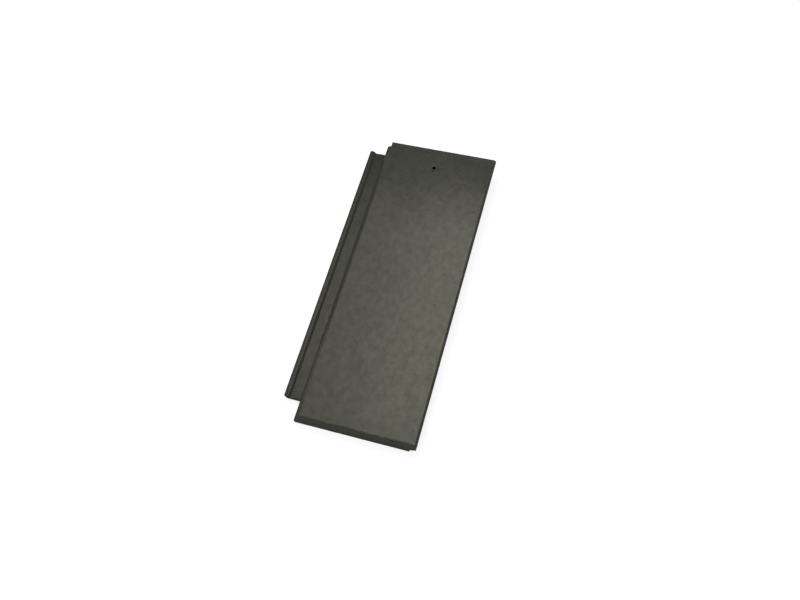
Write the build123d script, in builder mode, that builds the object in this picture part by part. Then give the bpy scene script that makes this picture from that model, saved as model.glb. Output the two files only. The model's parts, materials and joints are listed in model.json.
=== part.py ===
from build123d import *
import math
import os

# Half of a flat interlocking roof tile, cast in concrete as one piece.
# The tile's own directions: X across the roof to the right, Y up the roof to the head,
# Z out of the weather face. Depths are measured down from the weather face.

# Body
length = 420.0
cover_width = 152.0  # from one tile to the next across the roof
lap_width = 28.5  # water fold that stands out under the left neighbour
slab = 18.0  # thickness between the bearing edges
bearing = 3.0  # how far the bearing edges stand below the slab
arris = 0.6  # rounding of the weather face's side edges
foot_chamfer = 4.0

# Water fold on the left
rib_depth = 9.0  # crest of the rib, below the weather face
rib_height = 4.0  # crest above the channel's floor
rib_crest = 5.8
rib_flank = 2.0  # run of the rib's inner flank
rib_round = 1.0
step_wall = 9.2  # depth of the steep wall left of the face
step_draft = 2.2  # run of that wall
step_slope = 6.1  # run of the slope between the wall and the channel
channel_round = 1.5
fold_draft = 1.0
fold_foot_trim = 27.0  # the fold stops short of the foot and of the head
fold_head_trim = 15.0

# Cover lap on the right, which lies over the next tile's water fold
joint_gap = 0.5  # across, between the nose and the next tile's wall
lap_clearance = 1.0  # between the lap and the fold below it
nose_chamfer = 2.8
nose_round = 0.4
groove_draft = 2.0
groove_round = 1.0
lap_end_gap = 2.0  # between the end of the next tile's fold and the foot block
foot_gap = 3.0  # across, between the foot block and the next tile's foot

# Underside
beam_width = 34.0  # left bearing edge, under the fold and the step
edge_beam = 7.0  # right bearing edge, beside the lap's groove
head_bar = 44.0  # bearing edge at the head
panel_round = 8.0
panel_draft = 30.0  # degrees, of the panel's edges between the bearing edges
drip_start = 10.0  # drip groove across the foot block
drip_width = 6.0
drip_depth = 3.0

# Suspension nibs
nib_from_head = 20.0  # from the head to the nibs' batten face
nib_height = 12.0
nib_crest = 8.0
nib_root = 14.0
nib_width = 30.0
nib_pitch = 64.0
nib_round = 2.0

# Nail hole
nail_hole_d = 5.0
nail_from_step = 69.0
nail_from_head = 30.0

# Depths, and how far the tile hangs below its batten
bearing_depth = slab + bearing
nib_depth = bearing_depth + nib_height
channel_depth = rib_depth + rib_height
hanging_length = length - nib_from_head

# Places across the tile, from the middle of its overall width
overall_width = cover_width + lap_width
fold_edge = -overall_width / 2
nose_edge = overall_width / 2
wall_lean = step_draft / step_wall
step_x = nose_edge - cover_width + joint_gap + nose_chamfer * wall_lean
wall_foot = step_x - step_draft
slope_foot = wall_foot - step_slope
rib_inside = fold_edge + rib_crest
rib_foot = rib_inside + rib_flank

# The lap follows the next tile's fold, which lies one cover width to the right
roof_depth = rib_depth - lap_clearance
lip_depth = channel_depth - lap_clearance
nose_depth = step_wall - lap_clearance
nose_foot = nose_edge - (nose_depth - nose_chamfer) * wall_lean
lip_edge = nose_foot - step_slope
groove_left = fold_edge + cover_width - lap_clearance
flank_slope = rib_flank / rib_height
lip_top = rib_inside + cover_width + lap_clearance * (1 - flank_slope)
lip_foot = lip_top + (lip_depth - roof_depth) * flank_slope
block_right = slope_foot + cover_width - foot_gap
foot_block = fold_foot_trim - lap_end_gap

# Panel and nibs between the bearing edges
panel_left = fold_edge + beam_width
panel_right = groove_left - groove_draft - edge_beam
panel_middle = (panel_left + panel_right) / 2
panel_foot = foot_block
panel_head = length - head_bar

# The tile lies on the lower front edge of its foot and on its nibs, so it leans by a small angle
lean = math.atan2(nib_depth - bearing_depth, hanging_length + nib_round)
face_height = bearing_depth * math.cos(lean)
lying_length = length * math.cos(lean) + (bearing_depth + foot_chamfer) * math.sin(lean)
foot_place = -lying_length / 2

tile = Plane(
    origin=(0, foot_place, face_height),
    x_dir=(1, 0, 0),
    z_dir=(0, -math.sin(lean), math.cos(lean)),
)
underside = tile.offset(-bearing_depth)
head_end = Plane(origin=tile.origin + tile.y_dir * length, x_dir=tile.x_dir, z_dir=-tile.y_dir)
side = Plane(origin=tile.origin, x_dir=tile.y_dir, z_dir=tile.x_dir)

# Corners of the section, each with its rounding
section_corners = [
    ((step_x, 0), arris),
    ((nose_edge - nose_chamfer, 0), arris),
    ((nose_edge, -nose_chamfer), 0),
    ((nose_foot, -nose_depth), nose_round),
    ((lip_edge, -lip_depth), nose_round),
    ((block_right, -lip_depth), 0),
    ((block_right, -bearing_depth), 0),
    ((fold_edge + fold_draft, -bearing_depth), rib_round),
    ((fold_edge, -channel_depth), 0),
    ((fold_edge, -rib_depth), rib_round),
    ((rib_inside, -rib_depth), rib_round),
    ((rib_foot, -channel_depth), channel_round),
    ((slope_foot, -channel_depth), channel_round),
    ((wall_foot, -step_wall), channel_round),
]

# Space under the cover lap, for the next tile's fold
lap_corners = [
    ((groove_left, -roof_depth), groove_round),
    ((lip_top, -roof_depth), groove_round),
    ((lip_foot, -lip_depth), groove_round),
    ((nose_edge, -lip_depth), 0),
    ((nose_edge, -nib_depth), 0),
    ((groove_left - groove_draft, -nib_depth), 0),
    ((groove_left - groove_draft, -bearing_depth), 0),
]

# Side view of a nib
nib_corners = [
    ((hanging_length, -slab), 0),
    ((hanging_length, -nib_depth), nib_round),
    ((hanging_length + nib_crest, -nib_depth), nib_round),
    ((hanging_length + nib_root, -bearing_depth), 0),
    ((hanging_length + nib_root, -slab), 0),
]


def rounded_outline(corners):
    points, roundings = zip(*corners)
    FilletPolyline(*points, radius=roundings, close=True)


with BuildPart() as half_tile:
    # Body and water fold in one section
    with BuildSketch(head_end):
        with BuildLine():
            rounded_outline(section_corners)
        make_face()
    extrude(amount=length)

    # Cover lap, hollow down to the foot block
    with BuildSketch(head_end):
        with BuildLine():
            rounded_outline(lap_corners)
        make_face()
    extrude(amount=length - foot_block, mode=Mode.SUBTRACT)

    # The fold's two ends
    with BuildSketch(tile):
        with Locations((slope_foot, 0)):
            Rectangle(lap_width, fold_foot_trim, align=(Align.MAX, Align.MIN))
        with Locations((slope_foot, length)):
            Rectangle(lap_width, fold_head_trim, align=(Align.MAX, Align.MAX))
    extrude(amount=-nib_depth, mode=Mode.SUBTRACT)

    # Panel between the bearing edges, and the drip groove behind the front edge
    with BuildSketch(underside):
        with Locations((panel_middle, (panel_foot + panel_head) / 2)):
            RectangleRounded(panel_right - panel_left, panel_head - panel_foot, panel_round)
    extrude(amount=bearing, taper=panel_draft, mode=Mode.SUBTRACT)
    with BuildSketch(side):
        with Locations((drip_start + drip_width / 2, -bearing_depth)):
            Ellipse(drip_width / 2, drip_depth)
    extrude(amount=overall_width, both=True, mode=Mode.SUBTRACT)

    # Suspension nibs, upright on the batten's side and drafted behind
    for nib_x in (panel_middle - nib_pitch / 2, panel_middle + nib_pitch / 2):
        with BuildSketch(side.offset(nib_x)):
            with BuildLine():
                rounded_outline(nib_corners)
            make_face()
        extrude(amount=nib_width / 2, both=True)

    # Bevelled front edge of the weather face
    with BuildSketch(side):
        with BuildLine():
            Polyline((0, 0), (foot_chamfer, 0), (0, -foot_chamfer), close=True)
        make_face()
    extrude(amount=overall_width, both=True, mode=Mode.SUBTRACT)

    # Nail hole
    with BuildSketch(tile):
        with Locations((step_x + nail_from_step, length - nail_from_head)):
            Circle(nail_hole_d / 2)
    extrude(amount=-nib_depth, mode=Mode.SUBTRACT)

os.makedirs("parts", exist_ok=True)
half_tile.part.label = "half_tile"
export_step(half_tile.part, "parts/half_tile.step")

box = half_tile.part.bounding_box()
print("size", box.size, "lowest", box.min, "highest", box.max)
print("lean in degrees", math.degrees(lean), "volume", half_tile.part.volume)
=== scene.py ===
import bpy
import json
import math
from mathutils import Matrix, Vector


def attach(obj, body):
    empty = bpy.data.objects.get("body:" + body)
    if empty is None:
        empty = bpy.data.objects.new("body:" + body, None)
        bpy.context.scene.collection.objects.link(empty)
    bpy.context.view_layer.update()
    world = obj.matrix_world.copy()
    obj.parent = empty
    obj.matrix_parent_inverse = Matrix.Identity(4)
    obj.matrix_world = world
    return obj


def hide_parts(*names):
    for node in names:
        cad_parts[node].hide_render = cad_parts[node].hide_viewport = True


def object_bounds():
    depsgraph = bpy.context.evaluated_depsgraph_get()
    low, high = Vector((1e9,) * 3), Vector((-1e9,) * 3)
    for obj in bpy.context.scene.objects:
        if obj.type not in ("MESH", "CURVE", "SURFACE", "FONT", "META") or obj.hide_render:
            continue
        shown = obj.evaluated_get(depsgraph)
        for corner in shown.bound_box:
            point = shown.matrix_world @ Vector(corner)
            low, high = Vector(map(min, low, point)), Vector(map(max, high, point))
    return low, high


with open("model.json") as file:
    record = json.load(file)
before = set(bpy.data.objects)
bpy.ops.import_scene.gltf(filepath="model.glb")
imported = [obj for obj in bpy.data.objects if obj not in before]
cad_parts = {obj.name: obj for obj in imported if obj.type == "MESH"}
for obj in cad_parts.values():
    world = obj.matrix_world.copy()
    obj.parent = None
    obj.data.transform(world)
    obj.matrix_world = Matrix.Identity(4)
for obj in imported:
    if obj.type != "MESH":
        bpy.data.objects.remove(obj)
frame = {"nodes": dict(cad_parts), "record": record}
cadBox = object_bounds()
print("frame loaded, box", cadBox)

nodeObject = frame["nodes"]["half_tile"]
mounts = {mount["name"]: mount for mount in frame["record"]["mounts"]}
faceNormal = Vector(mounts["weather_face"]["axis"]).normalized()  # out of the weather face
facePoint = Vector(mounts["weather_face"]["pos_m"])
headward = faceNormal.cross(Vector((1, 0, 0)))  # up the tile, towards its head
leftEdge, footEdge = cadBox[0].x, cadBox[0].y
rightEdge, headEdge = cadBox[1].x, cadBox[1].y


def deselectAll():
    bpy.ops.object.select_all(action="DESELECT")


def makeActive(piece):
    deselectAll()
    piece.select_set(True)
    bpy.context.view_layer.objects.active = piece


# the tile: the cast shape cut into a fine grid, then made a little uneven
tileLook = {
    "weldGap": 1e-6,            # joins the loose triangles of the cast shape
    "flatAngle": math.radians(0.2),  # flat stretches become one face before the cuts
    "gridStep": 0.002,          # spacing of the cuts across and along
    "leftCuts": (0.00125, 0.00495, 0.00905, 0.02065, 0.03045),  # more cuts beside the edges, from the left
    "rightCuts": (0.00335, 0.00245),
    "footCuts": (0.00056, 0.00356, 0.00476, 0.02766),
    "headCuts": (0.01606, 0.00086),
    "sliverGap": 2e-5,          # points nearer than this are joined after the cuts
    "sharpAngle": math.radians(35),
    "noiseDepth": 2,
    "unevenSize": 0.03,         # faint hollows and swells of the cast faces
    "unevenHeight": 0.00016,
    "grainSize": 0.0045,
    "grainHeight": 0.00006,
    "nickSize": 0.004,          # small irregularities of the sharp edges
    "nickDepth": 0.0003,
    "nickLevel": 0.3,           # noise above this cuts into the edge
}


def evenCuts(low, high, step):
    count = int((high - low) / step)
    return [low + step * (number + 0.5) for number in range(count)]


def cutAll(point, normal):
    bpy.ops.mesh.select_all(action="SELECT")
    bpy.ops.mesh.bisect(plane_co=point, plane_no=normal)


def joinNear(gap):
    bpy.ops.mesh.select_all(action="SELECT")
    bpy.ops.mesh.remove_doubles(threshold=gap)


def roughen(piece, name, size, strength, middle=0.5, group=""):
    texture = bpy.data.textures.new(name, "CLOUDS")
    texture.noise_scale = size
    texture.noise_depth = tileLook["noiseDepth"]
    modifier = piece.modifiers.new(name, "DISPLACE")
    modifier.texture = texture
    modifier.texture_coords = "LOCAL"
    modifier.strength = strength
    modifier.mid_level = middle
    modifier.vertex_group = group
    bpy.ops.object.modifier_apply(modifier=name)


def makeTile():
    piece = bpy.data.objects.new("cast_tile", nodeObject.data.copy())
    bpy.context.scene.collection.objects.link(piece)
    makeActive(piece)
    bpy.ops.mesh.customdata_custom_splitnormals_clear()
    bpy.ops.object.mode_set(mode="EDIT")
    joinNear(tileLook["weldGap"])
    bpy.ops.mesh.dissolve_limited(angle_limit=tileLook["flatAngle"])

    alongCuts = evenCuts(footEdge, headEdge, tileLook["gridStep"])
    alongCuts += [footEdge + gap for gap in tileLook["footCuts"]]
    alongCuts += [headEdge - gap for gap in tileLook["headCuts"]]
    for place in alongCuts:
        cutAll((0, place, facePoint.z), headward)
    acrossCuts = evenCuts(leftEdge, rightEdge, tileLook["gridStep"])
    acrossCuts += [leftEdge + gap for gap in tileLook["leftCuts"]]
    acrossCuts += [rightEdge - gap for gap in tileLook["rightCuts"]]
    for place in acrossCuts:
        cutAll((place, 0, 0), (1, 0, 0))
    joinNear(tileLook["sliverGap"])
    print("tile cut by", len(alongCuts) + len(acrossCuts), "planes")

    # the sharp edges get a group of their own, for the nicks
    bpy.ops.mesh.select_mode(type="EDGE")
    bpy.ops.mesh.select_all(action="DESELECT")
    bpy.ops.mesh.edges_select_sharp(sharpness=tileLook["sharpAngle"])
    bpy.ops.mesh.mark_sharp()
    bpy.ops.object.vertex_group_assign_new()
    bpy.ops.mesh.select_mode(type="FACE")
    bpy.ops.object.mode_set(mode="OBJECT")
    sharpGroup = piece.vertex_groups[-1].name

    roughen(piece, "uneven", tileLook["unevenSize"], tileLook["unevenHeight"])
    roughen(piece, "grain", tileLook["grainSize"], tileLook["grainHeight"])
    roughen(piece, "nicks", tileLook["nickSize"], -tileLook["nickDepth"], tileLook["nickLevel"], sharpGroup)
    bpy.ops.object.shade_smooth(keep_sharp_edges=True)
    print("tile roughened,", len(piece.data.polygons), "faces")
    return piece


tile = makeTile()
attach(tile, "root")
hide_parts("half_tile")


# node building, for the concrete, the floor and the world
def newMaterial(name):
    material = bpy.data.materials.new(name)
    material.use_nodes = True
    tree = material.node_tree
    return material, tree, tree.nodes["Principled BSDF"]


def objectPlace(tree):
    return tree.nodes.new("ShaderNodeTexCoord").outputs["Object"]


def axesOf(tree, vector):
    split = tree.nodes.new("ShaderNodeSeparateXYZ")
    tree.links.new(vector, split.inputs["Vector"])
    return split.outputs


def noiseValue(tree, place, scale, detail):
    noise = tree.nodes.new("ShaderNodeTexNoise")
    noise.inputs["Scale"].default_value = scale
    noise.inputs["Detail"].default_value = detail
    tree.links.new(place, noise.inputs["Vector"])
    return noise.outputs["Fac"]


def valueRange(tree, value, source, target):
    mapped = tree.nodes.new("ShaderNodeMapRange")
    for name, number in zip(("From Min", "From Max", "To Min", "To Max"), (*source, *target)):
        mapped.inputs[name].default_value = number
    tree.links.new(value, mapped.inputs["Value"])
    return mapped.outputs["Result"]


def colourBetween(tree, value, dark, light):
    mixed = tree.nodes.new("ShaderNodeMix")
    mixed.data_type = "RGBA"
    tree.links.new(value, mixed.inputs["Factor"])
    mixed.inputs["A"].default_value = (*dark, 1)
    mixed.inputs["B"].default_value = (*light, 1)
    return mixed.outputs["Result"]


def numberBetween(tree, value, low, high):
    mixed = tree.nodes.new("ShaderNodeMix")
    tree.links.new(value, mixed.inputs["Factor"])
    for name, number in (("A", low), ("B", high)):
        if isinstance(number, (int, float)):
            mixed.inputs[name].default_value = number
        else:
            tree.links.new(number, mixed.inputs[name])
    return mixed.outputs["Result"]


def combined(tree, operation, values):
    result = values[0]
    for value in values[1:]:
        both = tree.nodes.new("ShaderNodeMath")
        both.operation = operation
        tree.links.new(result, both.inputs[0])
        tree.links.new(value, both.inputs[1])
        result = both.outputs["Value"]
    return result


def multiplied(tree, *values):
    return combined(tree, "MULTIPLY", values)


def scaled(tree, colour, value):
    product = tree.nodes.new("ShaderNodeVectorMath")
    product.operation = "SCALE"
    tree.links.new(colour, product.inputs["Vector"])
    tree.links.new(value, product.inputs["Scale"])
    return product.outputs["Vector"]


def seenValue(tree, hidden, seen):
    rays = tree.nodes.new("ShaderNodeLightPath").outputs
    names = ("Is Camera Ray", "Is Glossy Ray", "Is Transmission Ray")
    either = combined(tree, "MAXIMUM", [rays[name] for name in names])
    return valueRange(tree, either, (0, 1), (hidden, seen))


# through-coloured concrete: the weather side carries a dull coat, upright sides and the underside none
castLook = {
    "mottleSpan": (0.3, 0.7),   # the part of each noise that is spread over a look's own range
    "streakSpan": (0.3, 0.7),
    "grainSpan": (0.25, 0.75),
    "pitSpan": (0.69, 0.83),    # only the peaks of the pores are pits
    # pits darken the colour: painted shade in pores that the mesh doesn't have
    "pitPaintedShade": 0.5,
    "sheenTint": (1, 1, 0.82, 1),
    "bumpHeight": 0.0004,
    "undersideLean": -0.3,      # faces that look further down than this are bare
}
coatLook = {
    "dark": (0.0244, 0.0244, 0.02),
    "light": (0.032, 0.032, 0.0262),
    "mottle": (45, 4),          # scale and detail of each noise
    "grain": (650, 3),
    "pores": (300, 1),
    "streaks": (150, 3),
    "streakStretch": (1, 0.7, 1),  # faint streaks along the tile
    "grainRange": (0.86, 1.14),
    "roughnessRange": (0.18, 0.205),
    "glossRange": (0.2, 0.28),
    "bump": 0.05,
    "coatSpan": (0.3, 0.7),     # the coat ends on faces that turn this far from the weather side
    # the upright sides are paler: the bare concrete, and painted light that lifts their shade
    "bareWallAndPaintedLight": 1.25,
    "wallRoughness": 0.8,
    "wallGloss": 0.1,
    "wallBump": 0.45,           # the cast sides are grainier than the coat
    "flankPaintedLight": 2.1,          # painted light: the rib's inner flank is made paler to lift its shade
    "flankSpan": (0.5, 0.8),    # how far that flank looks to the right
    "flankFade": (leftEdge + 0.00905, leftEdge + 0.01005),  # a fade is the stretch where a look ends
    "foldGloss": (0.92, 0.76),  # the water fold carries less coat, towards the head most so
    "foldThinning": (footEdge + 0.15016, footEdge + 0.29016),
    "foldFade": (leftEdge + 0.02725, leftEdge + 0.02925),
    "rimGloss": 0.55,           # and its outer rim carries least
    "rimFade": (leftEdge + 0.00175, leftEdge + 0.00475),
    "endGloss": 0.35,           # the step's coat wears thin towards its free ends
    "footFade": (footEdge + 0.01316, footEdge + 0.03816),
    "headFade": (headEdge - 0.02816, headEdge - 0.00616),
}
rawLook = {
    "dark": (0.078, 0.077, 0.068),
    "light": (0.108, 0.106, 0.094),
    "mottle": (30, 4),
    "grain": (500, 3),
    "pores": (220, 1),
    "grainRange": (0.78, 1.22),
    "roughness": 0.9,
    "gloss": 0.1,
    "bump": 0.4,
}


def castPatterns(tree, place, look):
    mottle = noiseValue(tree, place, *look["mottle"])
    grain = noiseValue(tree, place, *look["grain"])
    pores = noiseValue(tree, place, *look["pores"])
    pits = valueRange(tree, pores, castLook["pitSpan"], (1, castLook["pitPaintedShade"]))
    spread = valueRange(tree, mottle, castLook["mottleSpan"], (0, 1))
    speckle = valueRange(tree, grain, castLook["grainSpan"], look["grainRange"])
    colour = colourBetween(tree, spread, look["dark"], look["light"])
    # the speckle is the grain's own tone; the pits are painted shade
    colour = scaled(tree, colour, multiplied(tree, speckle, pits))
    return {"mottle": mottle, "grain": grain, "pits": pits, "colour": colour}


def grainBump(tree, shader, grain):
    bump = tree.nodes.new("ShaderNodeBump")
    bump.inputs["Distance"].default_value = castLook["bumpHeight"]
    tree.links.new(grain, bump.inputs["Height"])
    tree.links.new(bump.outputs["Normal"], shader.inputs["Normal"])
    return bump.inputs["Strength"]


def coatShare(tree, normal):
    facing = tree.nodes.new("ShaderNodeVectorMath")
    facing.operation = "DOT_PRODUCT"
    tree.links.new(normal, facing.inputs[0])
    facing.inputs[1].default_value = faceNormal
    return valueRange(tree, facing.outputs["Value"], coatLook["coatSpan"], (0, 1))


def coatGloss(tree, place):
    axes = axesOf(tree, place)
    thinned = valueRange(tree, axes["Y"], coatLook["foldThinning"], coatLook["foldGloss"])
    footEnd = valueRange(tree, axes["Y"], coatLook["footFade"], (coatLook["endGloss"], 1))
    headEnd = valueRange(tree, axes["Y"], coatLook["headFade"], (1, coatLook["endGloss"]))
    onFace = valueRange(tree, axes["X"], coatLook["foldFade"], (0, 1))
    fold = numberBetween(tree, onFace, multiplied(tree, thinned, footEnd, headEnd), 1.0)
    rim = valueRange(tree, axes["X"], coatLook["rimFade"], (coatLook["rimGloss"], 1))
    stretch = tree.nodes.new("ShaderNodeMapping")
    stretch.inputs["Scale"].default_value = coatLook["streakStretch"]
    tree.links.new(place, stretch.inputs["Vector"])
    streaks = noiseValue(tree, stretch.outputs["Vector"], *coatLook["streaks"])
    sheen = valueRange(tree, streaks, castLook["streakSpan"], coatLook["glossRange"])
    return multiplied(tree, sheen, fold, rim)


# painted light: where the rib's inner flank looks to the right, its colour is made paler to lift its shade
def flankPaintedLight(tree, place, normal):
    flank = valueRange(tree, axesOf(tree, normal)["X"], coatLook["flankSpan"], (1, coatLook["flankPaintedLight"]))
    pastRib = valueRange(tree, axesOf(tree, place)["X"], coatLook["flankFade"], (0, 1))
    return numberBetween(tree, pastRib, flank, 1.0)


def coatedConcrete():
    material, tree, shader = newMaterial("coatedConcrete")
    place = objectPlace(tree)
    normal = tree.nodes.new("ShaderNodeNewGeometry").outputs["Normal"]
    cast = castPatterns(tree, place, coatLook)
    coated = coatShare(tree, normal)
    # paler upright sides: bare concrete, and painted light lifting their shade
    wall = numberBetween(tree, coated, coatLook["bareWallAndPaintedLight"], 1.0)
    # painted light on the rib's inner flank, lifting its shade
    colour = scaled(tree, cast["colour"], multiplied(tree, wall, flankPaintedLight(tree, place, normal)))
    coatRoughness = valueRange(tree, cast["mottle"], castLook["mottleSpan"], coatLook["roughnessRange"])
    roughness = numberBetween(tree, coated, coatLook["wallRoughness"], coatRoughness)
    pittedGloss = multiplied(tree, coatGloss(tree, place), cast["pits"])
    gloss = numberBetween(tree, coated, coatLook["wallGloss"], pittedGloss)
    tree.links.new(colour, shader.inputs["Base Color"])
    tree.links.new(roughness, shader.inputs["Roughness"])
    tree.links.new(gloss, shader.inputs["Specular IOR Level"])
    shader.inputs["Specular Tint"].default_value = castLook["sheenTint"]
    bump = numberBetween(tree, coated, coatLook["wallBump"], coatLook["bump"])
    tree.links.new(bump, grainBump(tree, shader, cast["grain"]))
    return material


def rawConcrete():
    material, tree, shader = newMaterial("rawConcrete")
    cast = castPatterns(tree, objectPlace(tree), rawLook)
    tree.links.new(cast["colour"], shader.inputs["Base Color"])
    shader.inputs["Roughness"].default_value = rawLook["roughness"]
    shader.inputs["Specular IOR Level"].default_value = rawLook["gloss"]
    shader.inputs["Specular Tint"].default_value = castLook["sheenTint"]
    grainBump(tree, shader, cast["grain"]).default_value = rawLook["bump"]
    return material


tile.data.materials.clear()
tile.data.materials.append(coatedConcrete())
tile.data.materials.append(rawConcrete())
for polygon in tile.data.polygons:
    polygon.material_index = 1 if polygon.normal.z < castLook["undersideLean"] else 0
print("tile coated")

# floor and light
studio = {
    "white": (1, 1, 1, 1),
    "floorSize": 6.0,
    "floorDrop": 0.0002,        # gap between the tile and the floor
    "floorColour": (0.22, 0.22, 0.22, 1),
    "floorLift": 0.86,          # what the lit floor lacks to look white
    "shelterReach": 0.04,       # the lift fades where the tile covers the floor this near: painted shadow under and beside the tile
    "shelterRange": (0.05, 0.4),
    "shelterSamples": 8,
    "worldStrength": 0.6,
    "boxes": (                  # place, turn in degrees, width, depth, power
        ((-0.125, 0.5, 1.5), (0, 0, 0), 0.366, 0.94, 5.27),
        ((-0.4645, 0.477, 1.5), (0, 0, 0), 0.313, 0.93, 2.28),
        ((-0.28, -1.55, 0.35), (76, 0, -12), 0.75, 0.4, 0.3),  # low in front, for the bevelled edge
        ((-1.29, 0.08, 0.42), (0, -90, 0), 0.75, 0.42, 0.75),  # low on the left, for the step
    ),
}


def makeFloor():
    deselectAll()
    bpy.ops.mesh.primitive_plane_add(size=studio["floorSize"], location=(0, 0, -studio["floorDrop"]))
    floor = bpy.context.active_object
    floor.name = "floor"
    bpy.ops.object.transform_apply(location=True)
    material, tree, shader = newMaterial("paleFloor")
    shader.inputs["Base Color"].default_value = studio["floorColour"]
    shader.inputs["Roughness"].default_value = 1.0
    shader.inputs["Specular IOR Level"].default_value = 0.0
    shader.inputs["Emission Color"].default_value = studio["white"]
    # painted shadow: the white lift fades where the tile shelters the floor
    shelter = tree.nodes.new("ShaderNodeAmbientOcclusion")
    shelter.samples = studio["shelterSamples"]
    shelter.inputs["Distance"].default_value = studio["shelterReach"]
    openness = valueRange(tree, shelter.outputs["AO"], studio["shelterRange"], (0, 1))
    lift = multiplied(tree, seenValue(tree, 0, studio["floorLift"]), openness)
    tree.links.new(lift, shader.inputs["Emission Strength"])
    floor.data.materials.append(material)


def makeWorld():
    world = bpy.data.worlds.new("studioWorld")
    bpy.context.scene.world = world
    world.use_nodes = True
    tree = world.node_tree
    background = tree.nodes["Background"]
    background.inputs["Color"].default_value = studio["white"]
    tree.links.new(seenValue(tree, studio["worldStrength"], 1), background.inputs["Strength"])


def makeBox(place, turn, width, depth, power):
    lamp = bpy.data.lights.new("softBox", "AREA")
    lamp.shape = "RECTANGLE"
    lamp.size, lamp.size_y = width, depth
    lamp.energy = power
    lampObject = bpy.data.objects.new("softBox", lamp)
    bpy.context.scene.collection.objects.link(lampObject)
    lampObject.location = place
    lampObject.rotation_euler = [math.radians(angle) for angle in turn]


makeFloor()
makeWorld()
for box in studio["boxes"]:
    makeBox(*box)
print("floor and light set")

# camera at the viewing angle of the picture
cameraSetting = {
    "place": (0.21976, -0.44002, 0.92429),
    "turn": (26.6699, 5.0432, 16.1061),  # degrees
    "lens": 35.143,
    "sensorWidth": 36,
}


def makeCamera():
    camera = bpy.data.cameras.new("camera")
    camera.lens = cameraSetting["lens"]
    camera.sensor_width = cameraSetting["sensorWidth"]
    camera.sensor_fit = "HORIZONTAL"
    cameraObject = bpy.data.objects.new("camera", camera)
    bpy.context.scene.collection.objects.link(cameraObject)
    cameraObject.location = cameraSetting["place"]
    cameraObject.rotation_euler = [math.radians(angle) for angle in cameraSetting["turn"]]
    bpy.context.scene.camera = cameraObject


makeCamera()
bpy.context.scene.view_settings.view_transform = "Standard"
